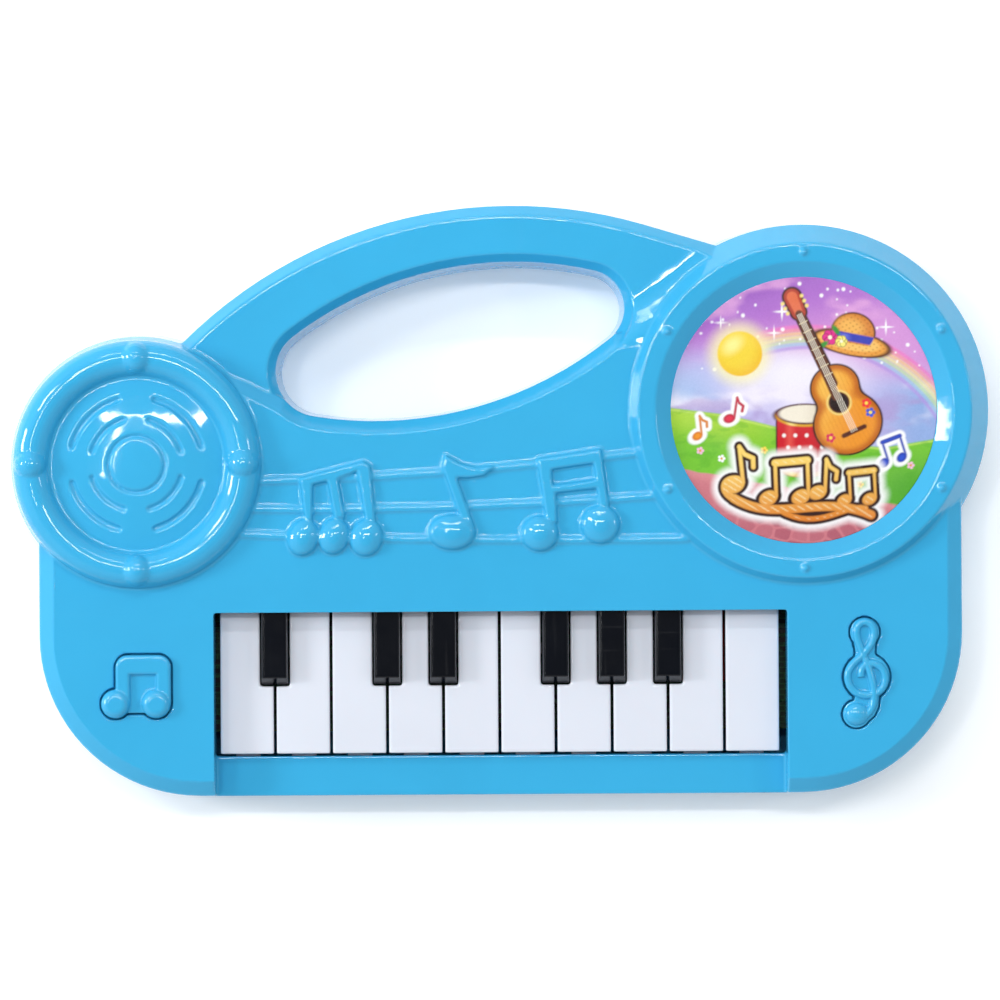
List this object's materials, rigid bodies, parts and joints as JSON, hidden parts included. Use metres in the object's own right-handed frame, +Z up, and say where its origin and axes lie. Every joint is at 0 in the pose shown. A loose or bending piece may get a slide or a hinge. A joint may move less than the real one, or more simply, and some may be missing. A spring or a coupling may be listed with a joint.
{
  "type": "toy electronic keyboard",
  "caption": "Small moulded toy keyboard with an arched carrying handle, hinged piano keys, two shaped push buttons, a round speaker drum and a round picture medallion.",
  "frame": {"origin": "centre of the outline, on the plane that the four feet stand on", "axes": "+X towards the player's right, +Y away from the player, towards the handle, +Z up out of the keys"},
  "size_m": [0.2634, 0.1594, 0.0363],
  "materials": {
    "blue_case": "glossy injection-moulded, light sky blue",
    "white_keys": "glossy, cool white",
    "black_keys": "glossy, black",
    "inner_plastic": "matt, unpainted",
    "picture_card": "satin printed card",
    "board": "green solder mask",
    "pads": "matt silicone",
    "epoxy": "glossy epoxy",
    "component": "lacquered",
    "can": "sleeved",
    "steel": "zinc-plated steel",
    "plated": "nickel-plated steel",
    "magnet": "sintered ferrite",
    "cone": "formed film",
    "cell": "printed sleeve",
    "wire_red": "soft insulation",
    "wire_black": "soft insulation"
  },
  "bodies": {
    "case": {"front_shell": "blue_case", "rear_cover": "blue_case", "label_disc": "picture_card", "key_hinge_rail": "inner_plastic", "key_hinge_pin": "steel", "circuit_board": "board", "rubber_contact_pads": "pads", "epoxy_chip": "epoxy", "capacitor": "can", "resistors": "component", "speaker_basket": "steel", "speaker_magnet": "magnet", "speaker_cone": "cone", "speaker_screws": "steel", "battery_cell_front": "cell", "battery_cell_rear": "cell", "battery_contacts": "plated", "battery_springs": "plated", "case_screws": "steel", "circuit_board_screws": "steel", "hinge_rail_screws": "steel", "speaker_wire_red": "wire_red", "speaker_wire_black": "wire_black", "battery_wire_red": "wire_red", "battery_wire_black": "wire_black"},
    "white_key_01": {"white_key_01": "white_keys"},
    "white_key_02": {"white_key_02": "white_keys"},
    "white_key_03": {"white_key_03": "white_keys"},
    "white_key_04": {"white_key_04": "white_keys"},
    "white_key_05": {"white_key_05": "white_keys"},
    "white_key_06": {"white_key_06": "white_keys"},
    "white_key_07": {"white_key_07": "white_keys"},
    "white_key_08": {"white_key_08": "white_keys"},
    "white_key_09": {"white_key_09": "white_keys"},
    "white_key_10": {"white_key_10": "white_keys"},
    "black_key_01": {"black_key_01": "black_keys"},
    "black_key_02": {"black_key_02": "black_keys"},
    "black_key_03": {"black_key_03": "black_keys"},
    "black_key_04": {"black_key_04": "black_keys"},
    "black_key_05": {"black_key_05": "black_keys"},
    "black_key_06": {"black_key_06": "black_keys"},
    "note_button": {"note_button": "blue_case"},
    "clef_button": {"clef_button": "blue_case"},
    "battery_door": {"battery_door": "blue_case", "battery_door_screw": "steel"}
  },
  "joints": [
    {"name": "white_key_01_press", "type": "hinge", "parent": "case", "child": "white_key_01", "pos_m": [0, -0.018, 0.0205], "axis": [1, 0, 0], "range_deg": [0, 3.2], "stiffness_Nm_per_rad": 0.3, "springref_deg": -2.86, "deforming": ["rubber_contact_pads"]},
    {"name": "white_key_02_press", "type": "hinge", "parent": "case", "child": "white_key_02", "pos_m": [0, -0.018, 0.0205], "axis": [1, 0, 0], "range_deg": [0, 3.2], "stiffness_Nm_per_rad": 0.3, "springref_deg": -2.86, "deforming": ["rubber_contact_pads"]},
    {"name": "white_key_03_press", "type": "hinge", "parent": "case", "child": "white_key_03", "pos_m": [0, -0.018, 0.0205], "axis": [1, 0, 0], "range_deg": [0, 3.2], "stiffness_Nm_per_rad": 0.3, "springref_deg": -2.86, "deforming": ["rubber_contact_pads"]},
    {"name": "white_key_04_press", "type": "hinge", "parent": "case", "child": "white_key_04", "pos_m": [0, -0.018, 0.0205], "axis": [1, 0, 0], "range_deg": [0, 3.2], "stiffness_Nm_per_rad": 0.3, "springref_deg": -2.86, "deforming": ["rubber_contact_pads"]},
    {"name": "white_key_05_press", "type": "hinge", "parent": "case", "child": "white_key_05", "pos_m": [0, -0.018, 0.0205], "axis": [1, 0, 0], "range_deg": [0, 3.2], "stiffness_Nm_per_rad": 0.3, "springref_deg": -2.86, "deforming": ["rubber_contact_pads"]},
    {"name": "white_key_06_press", "type": "hinge", "parent": "case", "child": "white_key_06", "pos_m": [0, -0.018, 0.0205], "axis": [1, 0, 0], "range_deg": [0, 3.2], "stiffness_Nm_per_rad": 0.3, "springref_deg": -2.86, "deforming": ["rubber_contact_pads"]},
    {"name": "white_key_07_press", "type": "hinge", "parent": "case", "child": "white_key_07", "pos_m": [0, -0.018, 0.0205], "axis": [1, 0, 0], "range_deg": [0, 3.2], "stiffness_Nm_per_rad": 0.3, "springref_deg": -2.86, "deforming": ["rubber_contact_pads"]},
    {"name": "white_key_08_press", "type": "hinge", "parent": "case", "child": "white_key_08", "pos_m": [0, -0.018, 0.0205], "axis": [1, 0, 0], "range_deg": [0, 3.2], "stiffness_Nm_per_rad": 0.3, "springref_deg": -2.86, "deforming": ["rubber_contact_pads"]},
    {"name": "white_key_09_press", "type": "hinge", "parent": "case", "child": "white_key_09", "pos_m": [0, -0.018, 0.0205], "axis": [1, 0, 0], "range_deg": [0, 3.2], "stiffness_Nm_per_rad": 0.3, "springref_deg": -2.86, "deforming": ["rubber_contact_pads"]},
    {"name": "white_key_10_press", "type": "hinge", "parent": "case", "child": "white_key_10", "pos_m": [0, -0.018, 0.0205], "axis": [1, 0, 0], "range_deg": [0, 3.2], "stiffness_Nm_per_rad": 0.3, "springref_deg": -2.86, "deforming": ["rubber_contact_pads"]},
    {"name": "black_key_01_press", "type": "hinge", "parent": "case", "child": "black_key_01", "pos_m": [0, -0.018, 0.0205], "axis": [1, 0, 0], "range_deg": [0, 4], "stiffness_Nm_per_rad": 0.2, "springref_deg": -2.86, "deforming": ["rubber_contact_pads"]},
    {"name": "black_key_02_press", "type": "hinge", "parent": "case", "child": "black_key_02", "pos_m": [0, -0.018, 0.0205], "axis": [1, 0, 0], "range_deg": [0, 4], "stiffness_Nm_per_rad": 0.2, "springref_deg": -2.86, "deforming": ["rubber_contact_pads"]},
    {"name": "black_key_03_press", "type": "hinge", "parent": "case", "child": "black_key_03", "pos_m": [0, -0.018, 0.0205], "axis": [1, 0, 0], "range_deg": [0, 4], "stiffness_Nm_per_rad": 0.2, "springref_deg": -2.86, "deforming": ["rubber_contact_pads"]},
    {"name": "black_key_04_press", "type": "hinge", "parent": "case", "child": "black_key_04", "pos_m": [0, -0.018, 0.0205], "axis": [1, 0, 0], "range_deg": [0, 4], "stiffness_Nm_per_rad": 0.2, "springref_deg": -2.86, "deforming": ["rubber_contact_pads"]},
    {"name": "black_key_05_press", "type": "hinge", "parent": "case", "child": "black_key_05", "pos_m": [0, -0.018, 0.0205], "axis": [1, 0, 0], "range_deg": [0, 4], "stiffness_Nm_per_rad": 0.2, "springref_deg": -2.86, "deforming": ["rubber_contact_pads"]},
    {"name": "black_key_06_press", "type": "hinge", "parent": "case", "child": "black_key_06", "pos_m": [0, -0.018, 0.0205], "axis": [1, 0, 0], "range_deg": [0, 4], "stiffness_Nm_per_rad": 0.2, "springref_deg": -2.86, "deforming": ["rubber_contact_pads"]},
    {"name": "note_button_press", "type": "slide", "parent": "case", "child": "note_button", "axis": [0, 0, -1], "range_m": [0, 0.0012], "stiffness_N_per_m": 500, "springref_m": -0.001, "deforming": ["rubber_contact_pads"]},
    {"name": "clef_button_press", "type": "slide", "parent": "case", "child": "clef_button", "axis": [0, 0, -1], "range_m": [0, 0.0012], "stiffness_N_per_m": 500, "springref_m": -0.001, "deforming": ["rubber_contact_pads"]},
    {"name": "battery_door_swing", "type": "hinge", "parent": "case", "child": "battery_door", "pos_m": [0.049, 0.022, 0.0012], "axis": [0, 1, 0], "range_deg": [0, 75]}
  ]
}
